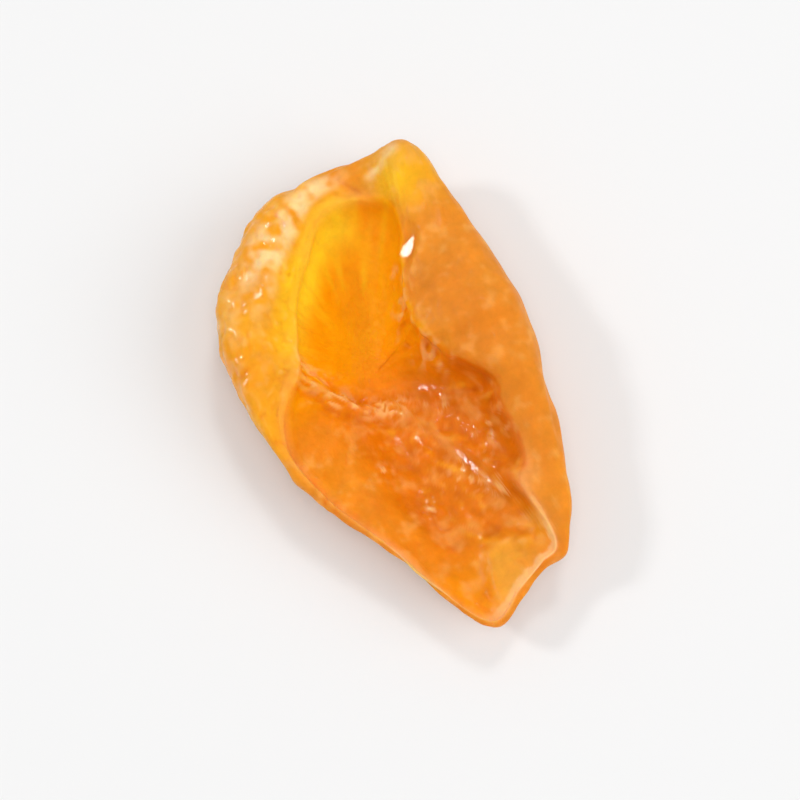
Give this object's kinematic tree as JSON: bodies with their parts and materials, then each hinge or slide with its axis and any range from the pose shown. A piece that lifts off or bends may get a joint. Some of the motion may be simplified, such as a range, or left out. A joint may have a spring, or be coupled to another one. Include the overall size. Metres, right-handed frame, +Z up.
{
  "type": "dried apricot half",
  "caption": "Dried apricot half lying cut side up, an oval fleshy cup with a rolled edge, a flap folded over the flesh, a stone hollow and a thin open tip.",
  "frame": {"origin": "on the surface the half rests on, under the middle of its bounding box", "axes": "+Z up out of the cut side, +Y along the half towards its stem end, -Y towards its open tip, +X towards the side whose edge is folded flat over the flesh"},
  "size_m": [0.0272, 0.0452, 0.0108],
  "materials": {
    "dried_flesh": "translucent amber flesh with a wet gloss, paler and drier skin"
  },
  "bodies": {
    "root": {"apricot_half": "dried_flesh"}
  },
  "joints": []
}
